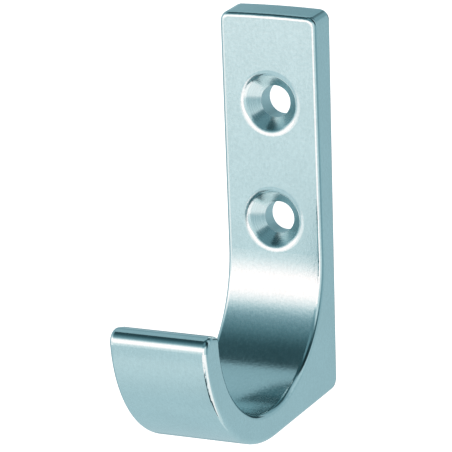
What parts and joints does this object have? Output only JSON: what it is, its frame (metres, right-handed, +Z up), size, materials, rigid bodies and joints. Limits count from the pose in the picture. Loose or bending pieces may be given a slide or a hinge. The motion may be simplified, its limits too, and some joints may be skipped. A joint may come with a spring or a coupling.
{
  "type": "coat hook",
  "caption": "Wall coat hook: a flat plate with countersunk screw holes that curves forward into a wide J-shaped hook with a rounded lip.",
  "frame": {"origin": "on the wall face, midway between the two screw holes", "axes": "+Z up, +Y into the wall, so the hook reaches out along -Y; +X across the hook"},
  "size_m": [0.018, 0.049, 0.0684],
  "materials": {
    "satin_metal": "satin, finely brushed, soft polished edges"
  },
  "bodies": {
    "root": {"coat_hook": "satin_metal"}
  },
  "joints": []
}
